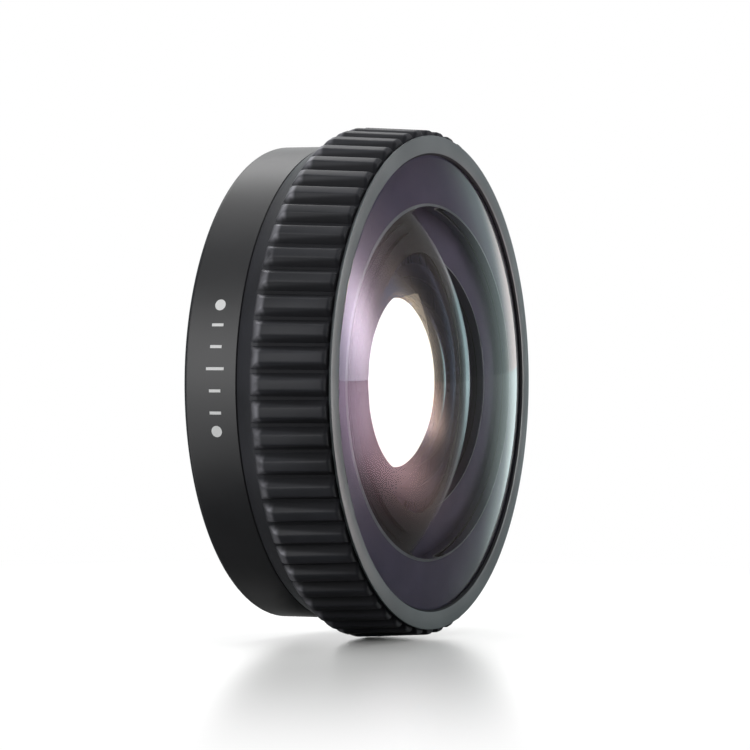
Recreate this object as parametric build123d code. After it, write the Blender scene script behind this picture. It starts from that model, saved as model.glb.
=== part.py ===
from build123d import *

import os
from math import pi, sqrt

# Wide-angle conversion lens for a small camera, in millimetres.
# The optical axis lies along Y and the front glass looks towards -Y.
# The origin is on the axis, in the rear face that seats on the camera.
# A station is the distance forward from that face, so y = -station.

# Clearances
running_gap = 0.05      # radial and end play of everything that turns
thread_gap = 0.02       # radial play of a threaded or slipped-in fit
bonded_gap = 0.03       # radial room for cement around a glass
end_relief = 0.1        # axial room behind threads and sleeves
screw_gap = 0.05        # radial play of a screw in its hole

# Camera side
camera_bore = 17.9      # radius of the bore that takes the camera's lens ring
seat_thickness = 1.2    # rear wall of the collar, and the length of that bore
recess_depth = 4.6      # how deep the camera's lens ring goes in
collar_wall = 0.98
collar_length = 5.2
collar_edge = 0.45      # rounding of the rear outer edge
collar_front_edge = 0.12
gasket_land = 0.9       # seat between the bore and the gasket
gasket_width = 1.3
gasket_depth = 0.4

# Twist lock
lock_relief = 0.4       # how far the sleeve's bore clears the camera bore
lock_wall = 1.15
lug_reach = 1.9         # how far the lugs stand in from the sleeve's bore
lug_thickness = 1.0
lug_angle = 34.0
lug_count = 3
first_lug_angle = 30.0  # where the first lug stands, from +X
lug_root = 0.2          # how deep a lug is let into the sleeve
lock_travel = 30.0      # turn of the grip ring from open to locked, in degrees
first_pin_angle = 90.0  # where the first drive screw stands, from +X
pin_radius = 0.8
pin_cover = 0.3         # metal left outside the grip ring's blind holes
pin_head_recess = 0.15
slot_side_gap = 0.1
slot_end_gap = 0.3
tail_wall = 0.8         # barrel wall around the lock sleeve
hex_across = 0.8
hex_depth = 0.7

# Grip ring
journal_step = 0.25     # the lip's journal stands this far above the thread
shoulder_step = 0.85    # and the barrel this far above the journal
lip_length = 0.95
washer_thickness = 0.16
washer_play = 0.02
ring_wall = 0.85        # from the bore to the floor of the grooves
rib_height = 0.7
rib_count = 60
rib_land = 0.9          # width of a rib across its top
groove_floor = 0.34     # width of a groove across its bottom
cone_rise = 0.05        # the cone starts this far outside the collar
cone_length = 1.75      # from the collar to where the cone meets the groove floor
rib_lead = 0.5          # from there to where the ribs reach full height
rib_slope = 0.22        # length of the slope at the front end of the ribs
ring_setback = 0.38     # the ring ends this far behind the bezel's rim
ring_lead = 0.12        # small chamfers at the ends of the ring's bore

# Barrel
barrel_wall = 0.77      # around the front glass
web_thickness = 1.2
damper_section = 0.55   # side of the damping ring's square section
damper_play = 0.02
bezel_thread_wall = 0.37
seal_height = 0.35

# Front bezel
rim_lead = 0.15         # the rim stands this far in front of the glass's edge
rim_overhang = 0.75     # how far the rim stands out from the barrel
rim_thickness = 0.15
rim_undercut = 0.2
face_width = 1.41
face_rise = 0.26        # the face slopes forward towards the glass
lip_drop = 0.36         # the dark slope between the face and the glass
skirt_length = 1.3

# Front glass
front_bevel = 0.4
front_dome = 3.72       # height of the dome above the bevel
front_hollow = 4.23     # depth of the hollow behind
front_centre = 3.44     # thickness on the axis
hollow_margin = 0.7     # the hollow ends this far outside the barrel's web
shim_width = 3.2
shim_thickness = 0.1

# Second glass
front_land = 0.3        # flat rim in front, outside the curve
rear_land = 2.85        # flat rim behind
second_dome = 3.24
second_hollow = 4.0
second_centre = 1.8

# Rear pair
ledge_play = 0.1        # the stop's ledge lies this far inside the hollow
ledge_width = 0.9       # how far the ledge reaches outside the pair
pair_land = 0.55        # flat rim around the front curve
flint_centre = 0.84     # thickness on the axis
cement_bulge = 1.0      # depth of the cemented surface
crown_edge = 0.46       # thickness of the crown at its rim
crown_dome = 1.8

# Rear cell and its rings
plate_inset = 0.4       # the rear plate lies this far inside the camera bore
plate_thickness = 0.6
flange_inset = 0.3      # and the cell's flange this far inside the plate
flange_thickness = 1.1
neck_wall = 0.86
neck_rise = 0.21        # the cell's neck stands this far in front of the web
neck_lead = 0.15        # and this far in front of the second glass's rim
stop_play = 0.05        # the stop's bore clears the pair's curve by this much
stop_thickness = 0.25
flare_reach = 0.05      # how far the flare stop stands in from that bore
flare_thickness = 0.12
flare_play = 0.03
retainer_rim = 0.6      # radial width of the retainer's thread outside the glass
retainer_reach = 0.8    # how far the retainer reaches over the glass
retainer_height = 0.66
retainer_lip = 0.15
rear_retainer_rim = 1.4
rear_retainer_reach = 1.09
notch_width = 1.4
notch_depth = 0.3
hub_wall = 0.5
screw_count = 4
screw_radius = 0.5
screw_head = 0.95
screw_head_height = 0.4
screw_margin = 0.5      # metal beside a screw's head
cross_span = 1.2        # the screwdriver's cross in a head
cross_width = 0.28
cross_depth = 0.25
plate_screw_length = 1.9
cell_screw_length = 1.9
cell_screw_angle = 45.0

# Index dots
dot_radius = 0.5
dot_depth = 0.5
dot_station = 3.1
dot_angle = 3.9         # middle of the two dots, above the side that faces -X

# Room left beyond a cut, so that it leaves no skin
past = 1.0

# Radii outwards from the camera bore
gasket_inner = camera_bore + gasket_land
lock_bore = camera_bore + lock_relief
lock_radius = lock_bore + lock_wall
tail_bore = lock_radius + running_gap
tail_radius = tail_bore + tail_wall
collar_bore = tail_radius + thread_gap
collar_radius = collar_bore + collar_wall
cone_radius = collar_radius + cone_rise
journal_radius = tail_radius + journal_step
lip_bore = journal_radius + running_gap
barrel_radius = journal_radius + shoulder_step
ring_bore = barrel_radius + running_gap
floor_radius = ring_bore + ring_wall
rib_radius = floor_radius + rib_height
glass_bore = barrel_radius - barrel_wall
front_glass_radius = glass_bore - bonded_gap
thread_radius = glass_bore + bezel_thread_wall
rim_radius = barrel_radius + rim_overhang
face_inner = rim_radius - face_width
lip_radius = face_inner - lip_drop
socket_end = floor_radius - pin_cover

# Radii inwards from the camera bore
plate_radius = camera_bore - plate_inset
cell_flange = plate_radius - flange_inset
cell_screw_circle = cell_flange - screw_head - screw_margin
web_bore = cell_screw_circle - screw_head - screw_margin
neck_radius = web_bore - thread_gap
mouth_radius = neck_radius - neck_wall
retainer_radius = mouth_radius - thread_gap
second_radius = retainer_radius - retainer_rim
second_front_clear = second_radius - front_land
second_rear_clear = second_radius - rear_land
retainer_bore = second_front_clear - retainer_reach
front_rear_clear = web_bore + hollow_margin
ledge_radius = second_rear_clear - ledge_play
pair_radius = ledge_radius - ledge_width
pair_clear = pair_radius - pair_land
stop_bore = pair_clear + stop_play
flare_bore = stop_bore - flare_reach
rear_retainer_radius = pair_radius + rear_retainer_rim
rear_retainer_bore = pair_radius - rear_retainer_reach
hub_bore = rear_retainer_radius + thread_gap
hub_radius = hub_bore + hub_wall
plate_screw_circle = hub_radius + screw_margin + screw_head
tail_of_cell = plate_screw_circle + screw_head + screw_margin

# Stations forward from the camera's recess
cell_rear = recess_depth + plate_thickness
cement_apex = cell_rear + flint_centre
cement_edge = cement_apex + cement_bulge
pair_rim = cement_edge + crown_edge
crown_apex = pair_rim + crown_dome
ledge_station = pair_rim + stop_thickness
second_seat = ledge_station + flare_thickness + flare_play
second_hollow_top = second_seat + second_hollow
second_apex = second_hollow_top + second_centre
second_rim = second_apex - second_dome
cell_top = second_rim + neck_lead
glass_seat = cell_top - neck_rise
glass_base = glass_seat + shim_thickness
front_hollow_top = glass_base + front_hollow
front_apex = front_hollow_top + front_centre
glass_rim = front_apex - front_dome
glass_edge = glass_rim - front_bevel
barrel_front = glass_edge - seal_height
rim_station = glass_rim + rim_lead
ring_end = rim_station - ring_setback
rib_end = ring_end - rib_slope
bezel_seat = ring_end + running_gap
skirt_end = bezel_seat - skirt_length

# Stations of the turning ring, the lock and the web
tail_end = seat_thickness + end_relief
lock_rear = seat_thickness + running_gap
web_rear = glass_seat - web_thickness
web_middle = (web_rear + glass_seat) / 2
lock_front = web_rear - end_relief
flange_rear = web_rear - flange_thickness
lip_rear = collar_length + running_gap
lip_front = lip_rear + lip_length
journal_end = lip_front + washer_thickness + 2 * washer_play
pin_station = (journal_end + lock_front) / 2
cone_end = collar_length + cone_length
rib_start = cone_end + rib_lead


def curve_of(height, clear):
    """Radius of the sphere whose cap has a height over a clear radius."""
    return (clear ** 2 + height ** 2) / (2 * height)


def fall(height, clear, radius):
    """How far a cap of a height and clear radius has fallen at another radius."""
    curve = curve_of(height, clear)
    return curve - sqrt(curve ** 2 - radius ** 2)


def turned(*outline):
    """Solid of revolution about the optical axis, from (radius, station) corners."""
    corners = [(radius, -place) for radius, place in outline]
    return revolve(make_face(Polyline(*corners, close=True)), Axis.Y)


def band(inner, outer, rear, front):
    """Plain ring between two radii and two stations."""
    return turned((inner, rear), (outer, rear), (outer, front), (inner, front))


def surface(height, clear, middle, towards):
    """Arc of a lens surface from the axis to its clear radius, bulging forward or back."""
    half = clear / 2
    partway = towards * fall(height, clear, half)
    edge = towards * height
    return ThreePointArc((0, -middle), (half, -middle + partway), (clear, -middle + edge))


def lens(front, *corners_and_rear):
    """Glass turned about the axis, from its front arc, its rim's corners and its rear arc."""
    corners = [(radius, -place) for radius, place in corners_and_rear[:-1]]
    rear = corners_and_rear[-1]
    rim = Polyline(front @ 1, *corners, rear @ 1)
    middle = Line(front @ 0, rear @ 0)
    return revolve(make_face(Curve() + [front, rim, rear, middle]), Axis.Y)


def around(piece, count, start=0.0):
    """The same piece at equal angles about the optical axis."""
    return [Rot(0, start + 360 * turn / count, 0) * piece for turn in range(count)]


def spoke(radius, inner, outer, place):
    """Round bar along +X, square to the optical axis, at a station."""
    along = Plane(origin=(inner, -place, 0), x_dir=(0, 1, 0), z_dir=(1, 0, 0))
    return extrude(along * Circle(radius), outer - inner)


def facing_forward(distance, station):
    """Plane square to the optical axis, looking forward, centred off the axis along +X."""
    return Plane(origin=(distance, -station, 0), x_dir=(1, 0, 0), z_dir=(0, -1, 0))


def axial_bar(radius, distance, rear, front):
    """Round bar parallel to the optical axis, at a distance from it along +X."""
    return extrude(facing_forward(distance, rear) * Circle(radius), front - rear)


def sector(inner, outer, rear, front, angle):
    """Part of a plain ring, centred on +X."""
    corners = [(inner, -rear), (outer, -rear), (outer, -front), (inner, -front)]
    swept = revolve(make_face(Polyline(*corners, close=True)), Axis.Y, angle)
    return Rot(0, -angle / 2, 0) * swept


def rear_collar():
    """Smooth outer shell at the back, with the bore and seat for the camera."""
    shell = turned(
        (camera_bore, 0),
        (collar_radius, 0),
        (collar_radius, collar_length),
        (collar_bore, collar_length),
        (collar_bore, seat_thickness),
        (camera_bore, seat_thickness),
    )
    shell = fillet(outer_edge(shell, 0), min(collar_edge, collar_wall / 2))
    shell = chamfer(outer_edge(shell, collar_length), collar_front_edge)
    gasket_outer = gasket_inner + gasket_width
    groove = band(gasket_inner, gasket_outer, -past, gasket_depth)
    return shell - groove - dot_bars()


def outer_edge(shell, station):
    """The widest round edge of a turned piece at a station."""
    level = shell.edges().filter_by(GeomType.CIRCLE).filter_by_position(Axis.Y, -station, -station)
    return level.sort_by(SortBy.RADIUS)[-1]


def rear_gasket():
    """Soft ring let into the seat, flush with it."""
    inner = gasket_inner + thread_gap
    outer = gasket_inner + gasket_width - thread_gap
    return band(inner, outer, 0, gasket_depth)


def dot_bars():
    """Radial bars at the places of the open and locked dots."""
    bar = spoke(dot_radius, collar_radius - dot_depth, collar_radius + past, dot_station)
    angles = (dot_angle - lock_travel / 2, dot_angle + lock_travel / 2)
    return [Rot(0, 180 + angle, 0) * bar for angle in angles]


def index_dots():
    """Paint-filled dots in the collar for the open and locked ends of the turn."""
    skin = band(collar_radius - past, collar_radius, 0, collar_length)
    return Compound(children=[skin & bar for bar in dot_bars()])


def main_barrel():
    """Inner tube that holds the front glass, the cell and the turning ring."""
    thread_end = skirt_end - end_relief
    tube = turned(
        (tail_bore, tail_end),
        (tail_radius, tail_end),
        (tail_radius, collar_length),
        (journal_radius, collar_length),
        (journal_radius, journal_end),
        (barrel_radius, journal_end),
        (barrel_radius, thread_end),
        (thread_radius, thread_end),
        (thread_radius, barrel_front),
        (glass_bore, barrel_front),
        (glass_bore, glass_seat),
        (web_bore, glass_seat),
        (web_bore, web_rear),
        (tail_bore, web_rear),
    )
    floor = barrel_radius - damper_section - damper_play
    half = damper_section / 2 + damper_play
    groove = band(floor, barrel_radius + past, web_middle - half, web_middle + half)
    slots = around(travel_slot(), lug_count, first_pin_angle)
    hole = screw_hole(cell_screw_circle, flange_rear, cell_screw_length)
    return tube - groove - slots - around(hole, screw_count, cell_screw_angle)


def travel_slot():
    """Slot through the barrel that a drive screw sweeps as the ring turns."""
    half = pin_radius + slot_side_gap
    margin = (pin_radius + slot_end_gap) / tail_bore * 180 / pi
    angle = lock_travel + 2 * margin
    arc = sector(tail_bore - past, barrel_radius + past, pin_station - half, pin_station + half, angle)
    return Rot(0, lock_travel / 2, 0) * arc


def damping_ring():
    """Square soft ring in the barrel's groove that gives the grip ring its drag."""
    half = damper_section / 2
    return band(barrel_radius - damper_section, barrel_radius, web_middle - half, web_middle + half)


def slide_washer():
    """Slippery washer between the ring's lip and the barrel's shoulder."""
    rear = lip_front + washer_play
    return band(journal_radius + thread_gap, barrel_radius, rear, rear + washer_thickness)


def grip_ring():
    """Ribbed ring that the fingers turn."""
    blank = turned(
        (lip_bore, lip_rear),
        (cone_radius, lip_rear),
        (floor_radius, cone_end),
        (rib_radius, rib_start),
        (rib_radius, rib_end),
        (floor_radius + rib_slope / 2, ring_end),
        (ring_bore + ring_lead, ring_end),
        (ring_bore, ring_end - ring_lead),
        (ring_bore, lip_front),
        (lip_bore, lip_front),
    )
    socket = spoke(pin_radius + screw_gap, ring_bore - past, socket_end, pin_station)
    sockets = around(socket, lug_count, first_pin_angle)
    return blank - around(rib_groove(), rib_count, 180 / rib_count) - sockets


def rib_groove():
    """Straight groove with sloping sides between two ribs, open at both ends."""
    pitch = 2 * pi * rib_radius / rib_count
    top = pitch - rib_land
    spread = (top - groove_floor) / 2 / rib_height
    over = rib_height + past
    outer = groove_floor / 2 + spread * over
    outline = Polyline(
        (floor_radius, -groove_floor / 2),
        (floor_radius, groove_floor / 2),
        (floor_radius + over, outer),
        (floor_radius + over, -outer),
        close=True,
    )
    face = facing_forward(0, lip_rear) * make_face(outline)
    return extrude(face, ring_end + past - lip_rear)


def lock_ring():
    """Sleeve inside the barrel whose lugs turn behind those of the camera."""
    sleeve = band(lock_bore, lock_radius, lock_rear, lock_front)
    lug_tip = lock_bore - lug_reach
    lug = sector(lug_tip, lock_bore + lug_root, lock_rear, lock_rear + lug_thickness, lug_angle)
    hole = spoke(pin_radius, lock_bore - past, lock_radius + past, pin_station)
    return sleeve + around(lug, lug_count, first_lug_angle) - around(hole, lug_count, first_pin_angle)


def drive_screws():
    """Headless screws that carry the ring's turn through the barrel to the lock."""
    start = lock_bore + pin_head_recess
    shank = spoke(pin_radius - thread_gap, start, socket_end - end_relief, pin_station)
    face = Plane(origin=(start, -pin_station, 0), x_dir=(0, 1, 0), z_dir=(1, 0, 0))
    key = extrude(face * RegularPolygon(hex_across / 2, 6, major_radius=False), hex_depth)
    return Compound(children=around(shank - key, lug_count, first_pin_angle))


def front_bezel():
    """Threaded ring around the front glass, with a thin overhanging rim."""
    thread = thread_radius + thread_gap
    lip_gap = 2 * thread_gap
    lip_foot = front_glass_radius - front_bevel
    return turned(
        (thread, skirt_end),
        (barrel_radius, skirt_end),
        (barrel_radius, bezel_seat),
        (rim_radius - rim_undercut, bezel_seat),
        (rim_radius, rim_station - rim_thickness),
        (rim_radius, rim_station),
        (face_inner, rim_station + face_rise),
        (lip_radius, rim_station + face_rise - lip_drop),
        (lip_radius, bevel_station(lip_radius) + lip_gap),
        (lip_foot + front_bevel, glass_edge + lip_gap),
        (thread, glass_edge + lip_gap),
    )


def bevel_station(radius):
    """Station of the front glass's bevel at a radius."""
    return glass_edge + front_glass_radius - radius


def front_seal():
    """Square rubber ring squeezed round the edge of the front glass."""
    inner = front_glass_radius + thread_gap
    return band(inner, thread_radius, barrel_front, glass_edge + thread_gap)


def front_element():
    """Large front meniscus, domed in front and hollow behind."""
    dome_radius = front_glass_radius - front_bevel
    return lens(
        surface(front_dome, dome_radius, front_apex, 1),
        (front_glass_radius, glass_edge),
        (front_glass_radius, glass_base),
        surface(front_hollow, front_rear_clear, front_hollow_top, 1),
    )


def seat_shim():
    """Thin black ring that the front glass sits on."""
    outer = glass_bore - thread_gap
    return band(outer - shim_width, outer, glass_seat, glass_base)


def second_element():
    """Smaller meniscus behind the front glass."""
    return lens(
        surface(second_dome, second_front_clear, second_apex, 1),
        (second_radius, second_rim),
        (second_radius, second_seat),
        surface(second_hollow, second_rear_clear, second_hollow_top, 1),
    )


def crown_element():
    """Front half of the cemented rear pair."""
    return lens(
        surface(crown_dome, pair_clear, crown_apex, 1),
        (pair_radius, pair_rim),
        surface(cement_bulge, pair_radius, cement_apex, -1),
    )


def flint_element():
    """Rear half of the cemented pair, flat behind."""
    return lens(
        surface(cement_bulge, pair_radius, cement_apex, -1),
        Line((0, -cell_rear), (pair_radius, -cell_rear)),
    )


def rear_cell():
    """Inner housing that carries the second glass and the rear pair."""
    second_bore = second_radius + bonded_gap
    pair_bore = pair_radius + bonded_gap
    body = turned(
        (hub_bore, recess_depth),
        (hub_radius, recess_depth),
        (hub_radius, cell_rear),
        (tail_of_cell, cell_rear),
        (tail_of_cell, flange_rear),
        (cell_flange, flange_rear),
        (cell_flange, web_rear),
        (neck_radius, web_rear),
        (neck_radius, cell_top),
        (mouth_radius, cell_top),
        (mouth_radius, second_rim),
        (second_bore, second_rim),
        (second_bore, second_seat),
        (ledge_radius, second_seat),
        (ledge_radius, ledge_station),
        (stop_bore, ledge_station),
        (stop_bore, pair_rim),
        (pair_bore, pair_rim),
        (pair_bore, cell_rear),
        (hub_bore, cell_rear),
    )
    plate_hole = screw_hole(plate_screw_circle, recess_depth, plate_screw_length)
    cell_hole = screw_hole(cell_screw_circle, flange_rear, cell_screw_length)
    plate_holes = around(plate_hole, screw_count)
    return body - plate_holes - around(cell_hole, screw_count, cell_screw_angle)


def screw_hole(distance, head_rear, length):
    """Room for one of the small screws, with play all round and open behind its head."""
    wide = screw_head + screw_gap
    narrow = screw_radius + screw_gap
    bar = axial_bar(narrow, distance, head_rear - past, head_rear + length + end_relief)
    base = facing_forward(distance, head_rear)
    taper = loft([base * Circle(wide), base.offset(screw_head_height) * Circle(narrow)])
    return bar + taper


def countersunk_screw(distance, head_rear, length):
    """Small screw that points forward, its flat head level with a station."""
    shank = axial_bar(screw_radius, distance, head_rear, head_rear + length)
    base = facing_forward(distance, head_rear)
    taper = loft([base * Circle(screw_head), base.offset(screw_head_height) * Circle(screw_radius)])
    cross = Rectangle(cross_span, cross_width) + Rectangle(cross_width, cross_span)
    return shank + taper - extrude(base * cross, cross_depth)


def cell_screws():
    """Screws that hold the cell against the barrel's web."""
    piece = countersunk_screw(cell_screw_circle, flange_rear, cell_screw_length)
    return Compound(children=around(piece, screw_count, cell_screw_angle))


def plate_screws():
    """Screws that hold the rear plate on the cell."""
    piece = countersunk_screw(plate_screw_circle, recess_depth, plate_screw_length)
    return Compound(children=around(piece, screw_count))


def rear_plate():
    """Flat black plate at the bottom of the camera's recess."""
    plate = band(hub_radius + thread_gap, plate_radius, recess_depth, cell_rear)
    hole = screw_hole(plate_screw_circle, recess_depth, plate_screw_length)
    return plate - around(hole, screw_count)


def flare_stop():
    """Thin ring that trims stray light between the second glass and the rear pair."""
    outer = ledge_radius - thread_gap
    return band(flare_bore, outer, ledge_station, ledge_station + flare_thickness)


def notches(radius, face):
    """Two slots for a spanner, cut back from a ring's face."""
    across = 2 * (radius + past)
    return Pos(0, -face, 0) * Box(across, 2 * notch_depth, notch_width)


def second_retainer():
    """Threaded ring that holds the second glass, with a slope towards the middle."""
    glass_gap = 2 * thread_gap
    drop = fall(second_dome, second_front_clear, retainer_bore)
    foot = second_apex - drop + glass_gap
    top = second_rim + retainer_height
    ring = turned(
        (retainer_radius, second_rim),
        (second_front_clear, second_rim),
        (second_front_clear, second_rim + glass_gap),
        (retainer_bore, foot),
        (retainer_bore, foot + retainer_lip),
        (retainer_bore + retainer_rim, top),
        (retainer_radius, top),
    )
    return ring - notches(retainer_radius, top)


def rear_retainer():
    """Threaded ring that holds the rear pair from behind."""
    slope = plate_thickness / 2
    ring = turned(
        (rear_retainer_bore, recess_depth + slope),
        (rear_retainer_bore + slope, recess_depth),
        (rear_retainer_radius, recess_depth),
        (rear_retainer_radius, cell_rear),
        (rear_retainer_bore, cell_rear),
    )
    return ring - notches(rear_retainer_radius, recess_depth)


NODES = {
    "rear_collar": rear_collar,
    "rear_gasket": rear_gasket,
    "index_dots": index_dots,
    "main_barrel": main_barrel,
    "damping_ring": damping_ring,
    "slide_washer": slide_washer,
    "grip_ring": grip_ring,
    "lock_ring": lock_ring,
    "drive_screws": drive_screws,
    "front_bezel": front_bezel,
    "front_seal": front_seal,
    "front_element": front_element,
    "seat_shim": seat_shim,
    "second_element": second_element,
    "crown_element": crown_element,
    "flint_element": flint_element,
    "rear_cell": rear_cell,
    "cell_screws": cell_screws,
    "second_retainer": second_retainer,
    "flare_stop": flare_stop,
    "rear_retainer": rear_retainer,
    "rear_plate": rear_plate,
    "plate_screws": plate_screws,
}

os.makedirs("parts", exist_ok=True)
for name, make in NODES.items():
    export_step(make(), f"parts/{name}.step")
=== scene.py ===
from math import cos, pi, radians, sin, sqrt

import bpy
from mathutils import Matrix, Vector


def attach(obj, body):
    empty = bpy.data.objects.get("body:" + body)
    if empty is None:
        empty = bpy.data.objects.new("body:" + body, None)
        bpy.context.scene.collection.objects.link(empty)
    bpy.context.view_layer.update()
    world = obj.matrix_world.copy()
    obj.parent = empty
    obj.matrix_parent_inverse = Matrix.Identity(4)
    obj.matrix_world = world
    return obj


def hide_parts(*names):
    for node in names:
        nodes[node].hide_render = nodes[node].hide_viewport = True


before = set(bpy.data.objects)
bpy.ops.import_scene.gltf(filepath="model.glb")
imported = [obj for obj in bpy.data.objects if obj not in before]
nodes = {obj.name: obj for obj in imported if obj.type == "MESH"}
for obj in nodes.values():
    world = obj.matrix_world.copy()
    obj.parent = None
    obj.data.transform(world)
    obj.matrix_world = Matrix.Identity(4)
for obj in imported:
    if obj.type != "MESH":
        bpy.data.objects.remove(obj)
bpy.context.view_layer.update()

MM = 0.001
MERGE_DISTANCE = MM / 1000

# Sizes taken over from the solid model, in millimetres: radii and stations forward of the seat
COLLAR_RADIUS = 21.30
LIP_BORE = 20.60
LIP_REAR = 5.25
LIP_FRONT = 6.20
CONE_RADIUS = 21.35
CONE_END = 6.95
FLOOR_RADIUS = 22.30
RIB_RADIUS = 23.00
RIB_START = 7.45
RIB_END = 14.00
RIB_COUNT = 60
RIB_LAND = 0.90
GROOVE_WIDTH = 0.34
RING_BORE = 21.45
RING_END = 14.22
RING_LEAD = 0.12
BARREL_RADIUS = 21.40
BEZEL_THREAD = 21.02
BEZEL_SEAT = 14.27
SKIRT_LENGTH = 1.3
RIM_RADIUS = 22.15
RIM_STATION = 14.60
RIM_UNDERCUT = 0.2
RIM_THICKNESS = 0.15
GLASS_RADIUS = 20.60
GLASS_EDGE = 14.05
LIP_GAP = 0.04

# Fall of the crests and the groove floors towards the front, in millimetres per millimetre
RIB_TAPER = 0.055

# Small rounded edges in millimetres, and the angles in degrees up to which shading stays smooth
EDGE_ROUNDING = 0.06
RIB_ROUNDING = 0.15
METAL_SMOOTH = 30
GLASS_SMOOTH = 20


def bare():
    """Leaves edit mode with nothing selected."""
    if bpy.context.mode != "OBJECT":
        bpy.ops.object.mode_set(mode="OBJECT")
    bpy.ops.object.select_all(action="DESELECT")


def pick(piece):
    """Selects one piece and nothing else."""
    bare()
    piece.select_set(True)
    bpy.context.view_layer.objects.active = piece


def join(first, *others):
    """Joins pieces into the first."""
    pick(first)
    for other in others:
        other.select_set(True)
    bpy.ops.object.join()
    return first


def settle(piece, name, body, slot, finish, *stands_for):
    """Names a finished piece, gives it its finish and hangs it on its body."""
    pick(piece)
    bpy.ops.object.transform_apply(location=True, rotation=True, scale=True)
    piece.name = name
    piece.data.name = name
    piece.data.materials.clear()
    piece.data.materials.append(finish)
    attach(piece, body)
    if stands_for:
        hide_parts(*stands_for)
    return piece


def smooth(piece, degrees):
    """Smooth shading that keeps edges sharper than an angle."""
    pick(piece)
    bpy.ops.object.shade_smooth_by_angle(angle=radians(degrees), keep_sharp_edges=False)


def round_edges(piece, width, segments=2, limit=28):
    """Rounds the sharp edges of a piece by a small width in millimetres."""
    bevel = piece.modifiers.new("eased edges", "BEVEL")
    bevel.width = width * MM
    bevel.segments = segments
    bevel.limit_method = "ANGLE"
    bevel.angle_limit = radians(limit)
    bevel.use_clamp_overlap = True
    pick(piece)
    bpy.ops.object.modifier_apply(modifier=bevel.name)


def drawn(outline):
    """Draws a line through (radius, station) corners and closes it, unless it starts on the axis."""
    bare()
    radius, station = outline[0]
    bpy.ops.mesh.primitive_plane_add(size=MM, location=(radius * MM, -station * MM, 0))
    piece = bpy.context.object
    bpy.ops.object.mode_set(mode="EDIT")
    bpy.ops.mesh.select_mode(type="VERT")
    bpy.ops.mesh.select_all(action="SELECT")
    bpy.ops.mesh.merge(type="CENTER")
    corners = list(outline[1:])
    if radius > 0:
        corners.append(outline[0])
    here = outline[0]
    for corner in corners:
        step = ((corner[0] - here[0]) * MM, (here[1] - corner[1]) * MM, 0)
        bpy.ops.mesh.extrude_vertices_move(TRANSFORM_OT_translate={"value": step})
        here = corner
    bpy.ops.object.mode_set(mode="OBJECT")
    bpy.ops.object.transform_apply(location=True, rotation=True, scale=True)
    return piece


def turned(outline, steps=240):
    """Turns an outline of (radius, station) corners about the optical axis."""
    piece = drawn(outline)
    bpy.ops.object.mode_set(mode="EDIT")
    bpy.ops.mesh.select_all(action="SELECT")
    bpy.ops.mesh.spin(steps=steps, angle=2 * pi, center=(0, 0, 0), axis=(0, 1, 0))
    bpy.ops.mesh.select_all(action="SELECT")
    bpy.ops.mesh.remove_doubles(threshold=MERGE_DISTANCE)
    bpy.ops.mesh.normals_make_consistent(inside=False)
    bpy.ops.object.mode_set(mode="OBJECT")
    return piece


def select_points(piece, wanted):
    """In edit mode, selects the vertices whose place passes a test."""
    bpy.ops.mesh.select_mode(type="VERT")
    bpy.ops.mesh.select_all(action="DESELECT")
    bpy.ops.object.mode_set(mode="OBJECT")
    for vertex in piece.data.vertices:
        vertex.select = wanted(vertex.co)
    bpy.ops.object.mode_set(mode="EDIT")


def radius_of(point):
    """Distance of a point from the optical axis, in millimetres."""
    return sqrt(point.x ** 2 + point.z ** 2) / MM


class Value:
    """A socket that can stand in a sum like a number."""

    def __init__(self, wiring, socket):
        self.wiring = wiring
        self.socket = socket

    def __add__(self, other):
        return self.wiring.maths("ADD", self, other)

    __radd__ = __add__

    def __sub__(self, other):
        return self.wiring.maths("SUBTRACT", self, other)

    def __rsub__(self, other):
        return self.wiring.maths("SUBTRACT", other, self)

    def __mul__(self, other):
        return self.wiring.maths("MULTIPLY", self, other)

    __rmul__ = __mul__

    def __truediv__(self, other):
        return self.wiring.maths("DIVIDE", self, other)

    def __pow__(self, other):
        return self.wiring.maths("POWER", self, other)


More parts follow.
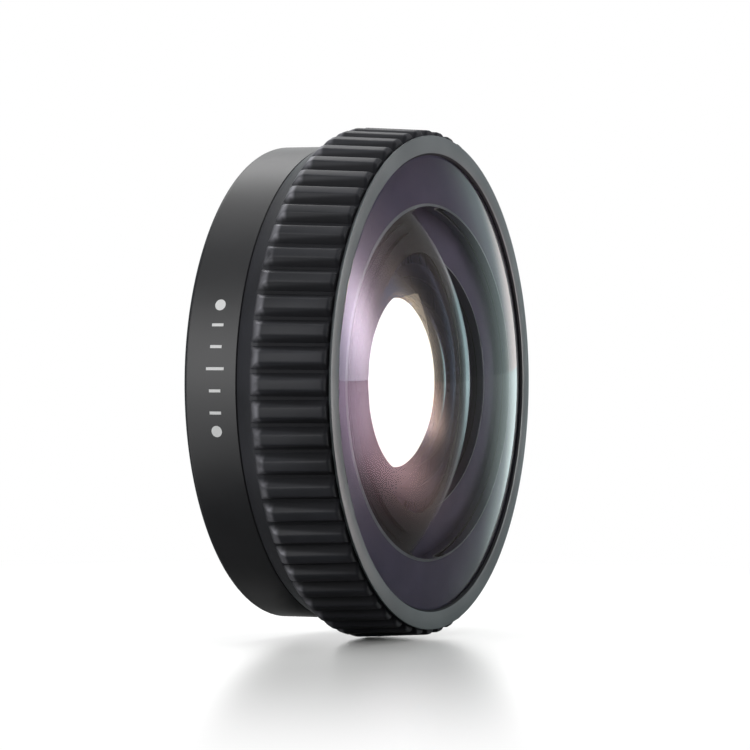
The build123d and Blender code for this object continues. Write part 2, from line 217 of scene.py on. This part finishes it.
class Wiring:
    """The nodes of one material or of the surroundings."""

    def __init__(self, owner):
        owner.use_nodes = True
        self.tree = owner.node_tree
        self.tree.nodes.clear()

    def node(self, kind, settings=None, inputs=None, output=0):
        """Adds a node, sets it up, fills its sockets and gives back one output."""
        made = self.tree.nodes.new(kind)
        for key, value in (settings or {}).items():
            setattr(made, key, value)
        for key, value in (inputs or {}).items():
            socket = made.inputs[key]
            if isinstance(value, Value):
                self.tree.links.new(value.socket, socket)
            else:
                socket.default_value = value
        return Value(self, made.outputs[output])

    def maths(self, operation, first, second=0.0, clamp=False):
        """One Math node on values or numbers."""
        settings = {"operation": operation, "use_clamp": clamp}
        return self.node("ShaderNodeMath", settings, {0: first, 1: second})

    def place(self):
        """Object coordinates in metres."""
        return self.node("ShaderNodeTexCoord", output="Object")

    def ray(self, output):
        """The kind of the ray that asks for a colour, or how often it has bounced."""
        return self.node("ShaderNodeLightPath", output=output)

    def seen(self):
        """1 for what the camera sees, straight or through glass, and 0 for what is mirrored."""
        bounces = self.ray("Diffuse Depth") + self.ray("Glossy Depth")
        straight = 1 - self.maths("MINIMUM", bounces, 1.0)
        through = self.ray("Is Transmission Ray") * straight
        return self.maths("ADD", self.ray("Is Camera Ray"), through, clamp=True)

    def white(self, seen):
        """White where it is seen, brighter through glass to make up for what the glass takes."""
        return seen * (1 + self.ray("Is Transmission Ray") * GLASS_LIFT)

    def parts(self, vector):
        """The three parts of a vector."""
        split = self.node("ShaderNodeSeparateXYZ", inputs={0: vector})
        outputs = split.socket.node.outputs
        return [Value(self, outputs[number]) for number in range(3)]

    def towards(self, vector, direction):
        """How far a vector goes in a direction."""
        settings = {"operation": "DOT_PRODUCT"}
        inputs = {0: vector, 1: tuple(direction)}
        return self.node("ShaderNodeVectorMath", settings, inputs, output="Value")

    def noise(self, vector, scale, detail=2.0, roughness=0.5):
        """Even noise from 0 to 1."""
        inputs = {"Vector": vector, "Scale": scale, "Detail": detail, "Roughness": roughness}
        return self.node("ShaderNodeTexNoise", inputs=inputs)

    def ease(self, value, low, high, first=0.0, last=1.0):
        """Smooth step of a value between two limits."""
        settings = {"interpolation_type": "SMOOTHSTEP"}
        inputs = {"Value": value, 1: low, 2: high, 3: first, 4: last}
        return self.node("ShaderNodeMapRange", settings, inputs)

    def blend(self, factor, first, second):
        """Mixes two colours."""
        inputs = {0: factor, 6: first, 7: second}
        return self.node("ShaderNodeMix", {"data_type": "RGBA"}, inputs, output=2)

    def bump(self, height, distance):
        """A normal raised by a height, with its distance in millimetres."""
        return self.node("ShaderNodeBump", inputs={"Height": height, "Distance": distance * MM})

    def surface(self, inputs):
        """The surface shader that ends a material."""
        self.end_with(self.node("ShaderNodeBsdfPrincipled", inputs=inputs))

    def end_with(self, shader, kind="ShaderNodeOutputMaterial"):
        """Joins the last shader to the output."""
        made = self.tree.nodes.new(kind)
        self.tree.links.new(shader.socket, made.inputs["Surface"])


def material(name):
    """A new material and its wiring. A noise of scale 1000 has grains about a millimetre wide."""
    made = bpy.data.materials.new(name)
    return made, Wiring(made)


def rgb(red, green, blue):
    """A linear colour from sRGB parts of 0 to 255."""
    parts = []
    for part in (red, green, blue):
        part = part / 255
        parts.append(part / 12.92 if part <= 0.04045 else ((part + 0.055) / 1.055) ** 2.4)
    return (*parts, 1.0)


def blasted(wiring, dark, light, roughness, grain):
    """Grain, cloudy colour and roughness of blasted aluminium."""
    place = wiring.place()
    fine = wiring.noise(place, grain, detail=3.0, roughness=0.6)
    cloud = wiring.noise(place, 180.0, detail=3.0)
    colour = wiring.blend(wiring.ease(cloud, 0.3, 0.7), dark, light)
    rough = roughness + (cloud - 0.5) * 0.08 + (fine - 0.5) * 0.06
    return fine, colour, rough


def anodised(name, dark, light, roughness, grain, raised, index=1.5):
    """Blasted and anodised aluminium."""
    made, wiring = material(name)
    fine, colour, rough = blasted(wiring, dark, light, roughness, grain)
    wiring.surface({
        "Base Color": colour,
        "Roughness": rough,
        "Normal": wiring.bump(fine, raised),
        "IOR": index,
    })
    return made


def grip_with_painted_light():
    """Black of the grip ring: a painted highlight on the ribs' rear ends, dull in front and between
    the ribs, where painted shade darkens the grooves.
    """
    highlight_from = RIB_START + 0.3
    highlight_to = RIB_START + 0.75
    dull_from = RIB_END - 0.25
    highlight_metal = rgb(132, 132, 138)
    groove_shade = rgb(20, 20, 23)
    made, wiring = material("grip black")
    fine, colour, rough = blasted(wiring, rgb(41, 42, 46), rgb(50, 51, 56), 0.45, 8000.0)
    place = wiring.place()
    across, along, height = wiring.parts(place)
    radius = (across * across + height * height) ** 0.5
    # Painted highlight on the ribs' rear ends: a lighter, half-metallic colour in patches
    patchy = wiring.ease(wiring.noise(place, 600.0, detail=3.0), 0.2, 0.6)
    rear_end = wiring.ease(along, -highlight_to * MM, -highlight_from * MM)
    raised = wiring.ease(radius, (FLOOR_RADIUS - 0.1) * MM, (FLOOR_RADIUS + 0.55) * MM)
    painted_highlight = rear_end * raised * patchy
    front_end = wiring.ease(along, -dull_from * MM, -RIB_END * MM)
    # Painted shade: the grooves between the ribs are darker, from the ribs' rear ends forward
    between = wiring.ease(radius, (RIB_RADIUS - 0.3) * MM, (FLOOR_RADIUS + 0.1) * MM)
    between = between * wiring.ease(along, -RIB_START * MM, -highlight_from * MM)
    colour = wiring.blend(painted_highlight, colour, highlight_metal)
    colour = wiring.blend(between * 0.5, colour, groove_shade)
    wiring.surface({
        "Base Color": colour,
        "Roughness": rough + front_end * 0.35 + between * 0.25,
        "Metallic": painted_highlight * 0.5,
        "Normal": wiring.bump(fine, 0.005),
        "IOR": 1.38,
    })
    return made


def turned_bezel():
    """Anodised ring with the fine rings that the lathe leaves."""
    lathe_rings = 60000.0
    made, wiring = material("turned black bezel")
    place = wiring.place()
    across, along, height = wiring.parts(place)
    radius = (across * across + height * height) ** 0.5
    inputs = {0: radius * lathe_rings, 1: along * lathe_rings}
    rings = wiring.noise(wiring.node("ShaderNodeCombineXYZ", inputs=inputs), 1.0)
    grain = wiring.noise(place, 9000.0)
    cloud = wiring.noise(place, 150.0)
    wiring.surface({
        "Base Color": wiring.blend(wiring.ease(cloud, 0.3, 0.7), rgb(65, 70, 73), rgb(77, 82, 85)),
        "Roughness": 0.35 + (rings - 0.5) * 0.12,
        "Metallic": 0.15,
        "Normal": wiring.bump(rings + grain * 0.6, 0.002),
    })
    return made


def soft_black(name, tone, roughness, grain, raised=0.002):
    """Matt rubber, slide polymer, edge paint with a painted sheen, or a ground glass edge with a
    painted highlight.
    """
    made, wiring = material(name)
    place = wiring.place()
    fine = wiring.noise(place, grain, detail=3.0, roughness=0.6)
    cloud = wiring.noise(place, 300.0)
    lighter = tuple(part * 1.5 for part in tone[:3]) + (1.0,)
    wiring.surface({
        "Base Color": wiring.blend(cloud, tone, lighter),
        "Roughness": roughness + (fine - 0.5) * 0.1,
        "Normal": wiring.bump(fine, raised),
    })
    return made


def coated_glass(name, index, film, film_index=1.38):
    """Polished glass with an anti-reflection coating of a thickness in nanometres."""
    made, wiring = material(name)
    smear = wiring.noise(wiring.place(), 90.0)
    wiring.surface({
        "Base Color": (1.0, 1.0, 1.0, 1.0),
        "Roughness": wiring.ease(smear, 0.55, 0.8, 0.0, 0.012),
        "IOR": index,
        "Transmission Weight": 1.0,
        "Thin Film Thickness": film,
        "Thin Film IOR": film_index,
    })
    return made


def blackened_steel():
    """Blackened screws with a faint turned sheen."""
    made, wiring = material("blackened steel")
    place = wiring.place()
    fine = wiring.noise(place, 7000.0, detail=3.0)
    worn = wiring.noise(place, 900.0)
    wiring.surface({
        "Base Color": wiring.blend(wiring.ease(worn, 0.4, 0.8), rgb(48, 49, 51), rgb(70, 71, 73)),
        "Metallic": 0.85,
        "Roughness": 0.34 + (fine - 0.5) * 0.15,
        "Normal": wiring.bump(fine, 0.003),
    })
    return made


def mark_paint():
    """White paint of the collar's dots and short lines."""
    made, wiring = material("mark paint")
    fine = wiring.noise(wiring.place(), 5000.0, detail=3.0)
    wiring.surface({
        "Base Color": wiring.blend(fine, rgb(236, 237, 237), rgb(246, 247, 246)),
        "Roughness": 0.45 + (fine - 0.5) * 0.2,
        "Normal": wiring.bump(fine, 0.01),
    })
    return made


collar_black = anodised(
    "collar black", dark=rgb(25, 26, 29), light=rgb(31, 32, 35),
    roughness=0.38, grain=9000.0, raised=0.004, index=1.62,
)
lock_black = anodised(
    "lock sleeve black", dark=rgb(34, 34, 36), light=rgb(44, 44, 46),
    roughness=0.38, grain=9000.0, raised=0.004,
)
inner_black = anodised(
    "matt inner black", dark=rgb(12, 13, 18), light=rgb(17, 19, 26),
    roughness=0.78, grain=7000.0, raised=0.0002, index=1.3,
)
grip_black = grip_with_painted_light()
bezel_black = turned_bezel()
rubber_black = soft_black("black rubber", rgb(26, 26, 26), roughness=0.7, grain=4000.0)
slide_black = soft_black("slide polymer", rgb(30, 30, 30), roughness=0.5, grain=6000.0)
# Black edge paint lightened and tinted purple: a painted sheen of the coating's reflection
edge_paint_and_sheen = soft_black(
    "edge paint and painted sheen", rgb(60, 57, 79), roughness=0.65, grain=900.0, raised=0.0004
)
# A light grey ground edge: a painted highlight ring on the hollow's rim of the front glass
ground_edge_highlight = soft_black(
    "ground glass edge and painted highlight", rgb(112, 118, 122), roughness=0.5, grain=1500.0, raised=0.0004
)
steel_black = blackened_steel()
paint_white = mark_paint()
front_glass = coated_glass("front glass", index=1.60, film=113.0)
second_glass = coated_glass("second glass", index=1.59, film=180.0, film_index=1.25)
crown_glass = coated_glass("crown glass", index=1.54, film=200.0, film_index=1.25)
flint_glass = coated_glass("flint glass", index=1.62, film=100.0)

CAD_FINISHES = {
    "rear_collar": collar_black,
    "rear_gasket": rubber_black,
    "index_dots": paint_white,
    "main_barrel": inner_black,
    "damping_ring": rubber_black,
    "slide_washer": slide_black,
    "lock_ring": lock_black,
    "drive_screws": steel_black,
    "front_seal": rubber_black,
    "seat_shim": slide_black,
    "rear_cell": inner_black,
    "cell_screws": steel_black,
    "second_retainer": inner_black,
    "flare_stop": inner_black,
    "rear_retainer": inner_black,
    "rear_plate": inner_black,
    "plate_screws": steel_black,
}


def finish_solids():
    """Gives the solids that stay as they are their finishes."""
    for name, finish in CAD_FINISHES.items():
        nodes[name].data.materials.clear()
        nodes[name].data.materials.append(finish)


def groove_radius(station):
    """Radius of the groove floor, which falls towards the front."""
    return FLOOR_RADIUS - RIB_TAPER * (station - CONE_END)


def rib():
    """One rib of the grip ring at +X, its foot sunk in the ring."""
    sunk = 0.12
    foot = CONE_END - 0.1
    front = RING_END - 0.02
    rear_corner = RIB_RADIUS - 0.18
    rear_crest = RIB_RADIUS - 0.03
    corner_station = RIB_START + 0.05
    crest_station = RIB_START + 0.6
    front_crest = RIB_RADIUS - RIB_TAPER * (RIB_END - RIB_START)
    front_drop = 0.2
    near = 0.01 * MM
    width = 2 * pi * FLOOR_RADIUS / RIB_COUNT - GROOVE_WIDTH
    profile = [
        (FLOOR_RADIUS - sunk, foot),
        (rear_corner, corner_station),
        (rear_crest, crest_station),
        (front_crest, RIB_END),
        (front_crest - front_drop, front),
        (groove_radius(front) - sunk, front),
    ]
    piece = drawn(profile)
    bpy.ops.object.mode_set(mode="EDIT")
    bpy.ops.mesh.select_all(action="SELECT")
    bpy.ops.mesh.remove_doubles(threshold=MERGE_DISTANCE)
    bpy.ops.mesh.edge_face_add()
    bpy.ops.mesh.extrude_region_move(TRANSFORM_OT_translate={"value": (0, 0, width * MM)})
    bpy.ops.mesh.select_all(action="SELECT")
    bpy.ops.transform.translate(value=(0, 0, -width / 2 * MM))
    bpy.ops.mesh.normals_make_consistent(inside=False)
    narrowing = 1 - RIB_LAND / width
    for radius, station in profile:
        corner = Vector((radius, -station)) * MM
        select_points(piece, lambda place: (place.xy - corner).length < near)
        height = min((radius - groove_radius(station)) / (RIB_RADIUS - FLOOR_RADIUS), 1.0)
        share = 1 - narrowing * height
        bpy.ops.transform.resize(value=(1, 1, share), center_override=(0, 0, 0))
    bpy.ops.object.mode_set(mode="OBJECT")
    return piece


def ribbed_ring():
    """Grip ring: the turned body with its cone, and sixty ribs."""
    edge = 0.1
    body = turned([
        (LIP_BORE, LIP_REAR),
        (CONE_RADIUS, LIP_REAR),
        (FLOOR_RADIUS, CONE_END),
        (groove_radius(RING_END - edge), RING_END - edge),
        (groove_radius(RING_END) - edge, RING_END),
        (RING_BORE + RING_LEAD, RING_END),
        (RING_BORE, RING_END - RING_LEAD),
        (RING_BORE, LIP_FRONT),
        (LIP_BORE, LIP_FRONT),
    ])
    round_edges(body, EDGE_ROUNDING)
    ribs = rib()
    round_edges(ribs, RIB_ROUNDING, segments=3)
    pick(ribs)
    bpy.ops.object.mode_set(mode="EDIT")
    bpy.ops.mesh.select_all(action="SELECT")
    copies = RIB_COUNT - 1
    way_round = 2 * pi * copies / RIB_COUNT
    bpy.ops.mesh.spin(
        steps=copies, angle=way_round, dupli=True, center=(0, 0, 0), axis=(0, 1, 0)
    )
    join(body, ribs)
    smooth(body, METAL_SMOOTH)
    return settle(body, "ribbed_ring", "grip", "grip_black", grip_black, "grip_ring")


def bezel():
    """Front ring with its thin rim and an inner lip that stands lower than the solid's."""
    skirt_end = BEZEL_SEAT - SKIRT_LENGTH
    face_inner = 20.62
    face_rise = 0.04
    lip_radius = 20.38
    lip_drop = 0.18
    lip_foot = GLASS_EDGE + LIP_GAP
    dark_inside = face_inner - 0.03
    piece = turned([
        (BEZEL_THREAD, skirt_end),
        (BARREL_RADIUS, skirt_end),
        (BARREL_RADIUS, BEZEL_SEAT),
        (RIM_RADIUS - RIM_UNDERCUT, BEZEL_SEAT),
        (RIM_RADIUS, RIM_STATION - RIM_THICKNESS),
        (RIM_RADIUS, RIM_STATION),
        (face_inner, RIM_STATION + face_rise),
        (lip_radius, RIM_STATION - lip_drop),
        (lip_radius, lip_foot + GLASS_RADIUS - lip_radius),
        (GLASS_RADIUS, lip_foot),
        (BEZEL_THREAD, lip_foot),
    ], steps=300)
    round_edges(piece, EDGE_ROUNDING, segments=3)
    smooth(piece, METAL_SMOOTH)
    settle(piece, "bezel_ring", "barrel", "bezel_black", bezel_black, "front_bezel")
    piece.data.materials.append(inner_black)
    for face in piece.data.polygons:
        if radius_of(face.center) < dark_inside:
            face.material_index = 1
    return piece


def scale_ticks():
    """Five short painted lines on the collar that divide the way between its two dots."""
    station = 3.1
    raised = 0.04
    width = 0.26
    middle_angle = 3.65
    pitch_angle = 5.18
    ticks = []
    for place in range(-2, 3):
        bare()
        length = 1.7 if place == 0 else 1.1
        bpy.ops.mesh.primitive_cube_add(
            size=MM, location=(-COLLAR_RADIUS * MM, -station * MM, 0), scale=(raised, length, width)
        )
        tick = bpy.context.object
        bpy.ops.object.mode_set(mode="EDIT")
        bpy.ops.mesh.select_all(action="SELECT")
        angle = -radians(middle_angle + pitch_angle * place)
        bpy.ops.transform.rotate(value=angle, orient_axis="Y", center_override=(0, 0, 0))
        bpy.ops.object.mode_set(mode="OBJECT")
        ticks.append(tick)
    return settle(join(*ticks), "scale_ticks", "barrel", "mark_paint", paint_white)


def arc(height, clear, station, points, towards=1):
    """Places on a curve of a height over a clear radius, from the axis outwards."""
    curve = (clear ** 2 + height ** 2) / (2 * height)
    places = []
    for number in range(points + 1):
        radius = clear * number / points
        fall = curve - sqrt(curve ** 2 - radius ** 2)
        places.append((radius, station - towards * fall))
    return places


def glass(name, node, finish, front, rim, rear, steps=300):
    """A glass from its front arc, the corners of its rim and its rear arc."""
    piece = turned(front + rim + list(reversed(rear)), steps)
    smooth(piece, GLASS_SMOOTH)
    return settle(piece, name, "barrel", "coated_glass", finish, node)


def paint_edge_and_sheen(piece, rim, flat):
    """Dark edge paint, lightened and tinted purple as a painted sheen, on the rim of a glass, outside
    one radius, and behind it, outside another.
    """
    square_to_axis = 0.9
    piece.data.materials.append(edge_paint_and_sheen)
    for face in piece.data.polygons:
        radius = radius_of(face.center)
        if radius > rim or (radius > flat and face.normal.y > square_to_axis):
            face.material_index = 1


def front_dome():
    """The large front glass: domed in front, hollow behind, with a painted flat round the hollow
    whose colour holds a painted sheen, and a painted highlight ring at the hollow's edge.
    """
    hollow_edge = 15.03
    rear_face = 10.51
    highlight_ring_inner = 14.8
    highlight_ring_front = 11.0
    painted_from = 20.5
    front = arc(height=3.72, clear=20.2, station=18.17, points=90)
    rear = arc(height=4.23, clear=15.0, station=14.73, points=76)
    rear[-1] = (hollow_edge, rear_face)
    rim = [(GLASS_RADIUS, GLASS_EDGE), (GLASS_RADIUS, rear_face)]
    piece = glass("front_dome", "front_element", front_glass, front, rim, rear, steps=420)
    paint_edge_and_sheen(piece, rim=painted_from, flat=hollow_edge)
    # Painted highlight: a light grey ring on the hollow's edge
    piece.data.materials.append(ground_edge_highlight)
    for face in piece.data.polygons:
        on_edge = highlight_ring_inner < radius_of(face.center) < hollow_edge
        if on_edge and face.center.y > -highlight_ring_front * MM:
            face.material_index = 2
    return piece


def second_lens():
    """The smaller glass behind the dome."""
    lens_radius = 12.8
    dome_edge = 12.5
    hollow_edge = 9.95
    rim_front = 10.46
    rim_rear = 7.9
    front = arc(height=3.24, clear=dome_edge, station=13.70, points=40)
    rear = arc(height=4.00, clear=hollow_edge, station=11.90, points=36)
    rim = [(lens_radius, rim_front), (lens_radius, rim_rear)]
    piece = glass("second_lens", "second_element", second_glass, front, rim, rear)
    paint_edge_and_sheen(piece, rim=dome_edge, flat=hollow_edge)
    return piece


def rear_pair():
    """The two rear glasses, a hair into each other where they are cemented."""
    hair = 0.005
    pair_radius = 8.95
    painted_from = 8.9
    crown_rim = 7.5
    flint_rear = 5.2
    cement = arc(height=1.0, clear=pair_radius, station=6.04, points=28, towards=-1)
    crown_front = arc(height=1.80, clear=8.40, station=9.30, points=32)
    crown_rear = [(radius, station - hair) for radius, station in cement]
    flint_front = [(radius, station + hair) for radius, station in cement]
    crown = glass("crown_lens", "crown_element", crown_glass,
                  crown_front, [(pair_radius, crown_rim)], crown_rear)
    flint = glass("flint_lens", "flint_element", flint_glass,
                  flint_front, [(pair_radius, flint_rear)], [(0.0, flint_rear)])
    for piece in (crown, flint):
        paint_edge_and_sheen(piece, rim=painted_from, flat=painted_from)
    return crown, flint


finish_solids()
ribbed_ring()
bezel()
scale_ticks()
front_dome()
second_lens()
rear_pair()


# Camera at the photograph's angle, with its distance and offsets in millimetres
AZIMUTH = radians(-65.7)
ELEVATION = radians(0.51)
CAMERA_DISTANCE = 437.2
OFFSET_RIGHT = -5.34
OFFSET_UP = 0.68
FOCAL_PIXELS = 4872
PHOTO_PIXELS = 750
SENSOR = 36

back = Vector((sin(AZIMUTH) * cos(ELEVATION), -cos(AZIMUTH) * cos(ELEVATION), sin(ELEVATION)))
right = Vector((cos(AZIMUTH), sin(AZIMUTH), 0))
up = back.cross(right)
level_back = Vector((back.x, back.y, 0)).normalized()


def place_camera():
    """Long lens that sees the object as the photograph does."""
    rim_centre = Vector((0, -RIM_STATION, 0))
    eye = rim_centre + OFFSET_RIGHT * right + OFFSET_UP * up + CAMERA_DISTANCE * back
    camera = bpy.data.objects.new("camera", bpy.data.cameras.new("camera"))
    bpy.context.scene.collection.objects.link(camera)
    camera.data.sensor_width = SENSOR
    camera.data.lens = FOCAL_PIXELS / PHOTO_PIXELS * SENSOR
    camera.data.clip_start = 0.01
    camera.data.clip_end = 50
    axes = Matrix((right, up, back)).transposed()
    camera.matrix_world = Matrix.Translation(eye * MM) @ axes.to_4x4()
    bpy.context.scene.camera = camera


def studio_side(degrees, rise):
    """Direction at an angle to the right of the camera, seen from the object."""
    angle = radians(degrees)
    level = cos(angle) * level_back + sin(angle) * right
    return (level * cos(radians(rise)) + Vector((0, 0, sin(radians(rise))))).normalized()


def softbox(name, degrees, rise, distance, width, height, strength):
    """Flat lamp of a plain strength, aimed at the object."""
    lamp = bpy.data.lights.new(name, "AREA")
    lamp.shape = "RECTANGLE"
    lamp.size = width
    lamp.size_y = height
    lamp.energy = strength * pi * width * height
    made = bpy.data.objects.new(name, lamp)
    bpy.context.scene.collection.objects.link(made)
    towards = studio_side(degrees, rise)
    made.location = towards * distance
    made.rotation_euler = towards.to_track_quat("Z", "Y").to_euler()
    made.visible_camera = False
    made.visible_glossy = False


# Light that mirrored surfaces see of the studio's walls and panels
FRONT_WALL = 0.03
SIDE_WALL = 0.16
BACK_WALL = 0.5
BACK_CENTRE = 0.65
CEILING = 1.5
HIGH_PANEL = 3.0
# Glow of the table that paints the walls' reflection into it
BOARD_REFLECTION_GLOW = 1.4

# Even light that matt surfaces see all round, and what is added to white seen through glass
ROOM_LEVEL = 0.6
GLASS_LIFT = 0.3

WHITE = (1, 1, 1, 1)
COOL_TINT = (0.74, 1.0, 1.03, 1)
WARM_TINT = (0.92, 1.0, 0.88, 1)
RIGHT_GLINT = (1.0, 0.80, 0.80, 1)
BACK_GLINT = (0.76, 1.0, 1.02, 1)
DARK_BOARD = (0.11, 0.11, 0.11, 1)
PALE_BOARD = (0.92, 0.92, 0.92, 1)
TABLE_SIZE = 20


def glow(wiring, turn, lift, degrees, rise, width, height, strength):
    """Soft-edged glow of a studio panel, as mirrored surfaces see it, with its angles in degrees."""
    across = (turn - radians(degrees)) / radians(width)
    upwards = (lift - radians(rise)) / radians(height)
    fall = across * across + upwards * upwards
    return wiring.maths("EXPONENT", fall * -1.0) * strength


def wall_level(wiring, facing):
    """Dim on the camera's side, brighter towards the white wall straight behind the object."""
    side_wall = wiring.ease(facing, 0.1, -0.4, FRONT_WALL, SIDE_WALL)
    back_wall = wiring.ease(facing, -0.70, -0.92, 0.0, BACK_WALL)
    return side_wall + back_wall + wiring.ease(facing, -0.885, -0.95, 0.0, BACK_CENTRE)


def surroundings():
    """White behind the object, dim on the camera's side, with soft panels left, right and above."""
    world = bpy.data.worlds.new("studio")
    bpy.context.scene.world = world
    wiring = Wiring(world)
    way = wiring.node("ShaderNodeTexCoord", output="Generated")
    facing = wiring.towards(way, level_back)
    side = wiring.towards(way, right)
    height = wiring.parts(way)[2]
    turn = wiring.maths("ARCTAN2", side, facing)
    lift = wiring.maths("ARCSINE", height)
    panels = glow(wiring, turn, lift, degrees=93, rise=2, width=11, height=22, strength=13.0)
    panels = panels + glow(wiring, turn, lift, degrees=95, rise=7, width=4, height=7, strength=32.0)
    panels = panels + glow(wiring, turn, lift, degrees=-50, rise=8, width=18, height=30, strength=3.4)
    panels = panels + wiring.ease(height, 0.75, 1.0, 0.0, CEILING)
    behind_left = wiring.ease(facing, -0.42, -0.6) * wiring.ease(side, 0.12, 0.0)
    panels = panels + wiring.ease(height, 0.5, 0.65) * behind_left * HIGH_PANEL
    mirrored = wall_level(wiring, facing) + panels
    seen = wiring.seen()
    matt = wiring.maths("MINIMUM", wiring.ray("Diffuse Depth"), 1.0)
    lighting = (1 - matt) * mirrored + matt * ROOM_LEVEL
    level = wiring.white(seen) + (1 - seen) * lighting
    low = wiring.ease(height, 0.45, 0.3)
    cool = (1 - seen) * wiring.ease(facing, -0.5, -0.8) * wiring.ease(facing, -0.96, -0.88) * low
    warm = (1 - seen) * wiring.ease(facing, -0.3, 0.1) * wiring.ease(side, 0.8, 1.0)
    tint = wiring.blend(cool, WHITE, COOL_TINT)
    tint = wiring.blend(warm, tint, WARM_TINT)
    shade = wiring.node("ShaderNodeBackground", inputs={"Color": tint, "Strength": level})
    wiring.end_with(shade, "ShaderNodeOutputWorld")


def pale_table():
    """White to the camera but for soft shadows; to mirrored surfaces a dim glossy board that glows
    with a painted reflection of the studio's walls and panels.
    """
    made, wiring = material("pale table")
    across, along, height = wiring.parts(wiring.place())
    away = (across * across + along * along) ** 0.5
    facing = (across * level_back.x + along * level_back.y) / away
    side = (across * right.x + along * right.y) / away
    turn = wiring.maths("ARCTAN2", side, facing)
    seen = wiring.seen()
    pale = wiring.blend(seen, DARK_BOARD, PALE_BOARD)
    inputs = {"Base Color": pale, "Roughness": 0.06 + seen * 0.14}
    board = wiring.node("ShaderNodeBsdfPrincipled", inputs=inputs)
    # Painted reflection: for mirrored rays the table glows with the right and left panels and the
    # walls
    right_panel_reflection = glow(wiring, turn, 0.0, degrees=93, rise=0, width=12, height=20, strength=14.0)
    left_panel_reflection = glow(wiring, turn, 0.0, degrees=-50, rise=0, width=24, height=20, strength=1.6)
    painted_reflection = right_panel_reflection * wiring.ease(away, 0.03, 0.10) + left_panel_reflection
    mirrored = wall_level(wiring, facing) * BOARD_REFLECTION_GLOW + painted_reflection
    level = wiring.white(seen) + (1 - seen) * mirrored
    to_right = (1 - seen) * wiring.ease(side, 0.8, 1.0)
    to_back = (1 - seen) * wiring.ease(facing, -0.5, -0.8)
    glint = wiring.blend(to_right, WHITE, RIGHT_GLINT)
    glint = wiring.blend(to_back, glint, BACK_GLINT)
    shine = wiring.node("ShaderNodeEmission", inputs={"Color": glint, "Strength": level})
    left_side = wiring.ease(side, -0.3, -0.8)
    near = wiring.ease(away, 0.03 - left_side * 0.01, 0.085 - left_side * 0.03)
    share = seen * wiring.ease(away, 0.04, 0.14) + (1 - seen) * near * 0.7
    wiring.end_with(wiring.node("ShaderNodeMixShader", inputs={0: share, 1: board, 2: shine}))
    return made


def studio_floor():
    """The table that the lens stands on."""
    bare()
    bpy.ops.mesh.primitive_plane_add(size=TABLE_SIZE, location=(0, 0, -RIB_RADIUS * MM))
    floor = bpy.context.object
    floor.name = "studio_floor"
    floor.data.materials.append(pale_table())


place_camera()
softbox("right softbox", degrees=93, rise=10, distance=0.8, width=0.3, height=0.6, strength=3.0)
softbox("left softbox", degrees=-50, rise=14, distance=0.8, width=0.3, height=0.4, strength=2.0)
softbox("top softbox", degrees=180, rise=80, distance=0.8, width=0.8, height=0.6, strength=1.2)
softbox("rear softbox", degrees=-135, rise=20, distance=0.8, width=0.5, height=0.5, strength=1.2)
surroundings()
studio_floor()

bpy.context.scene.view_settings.view_transform = "Standard"
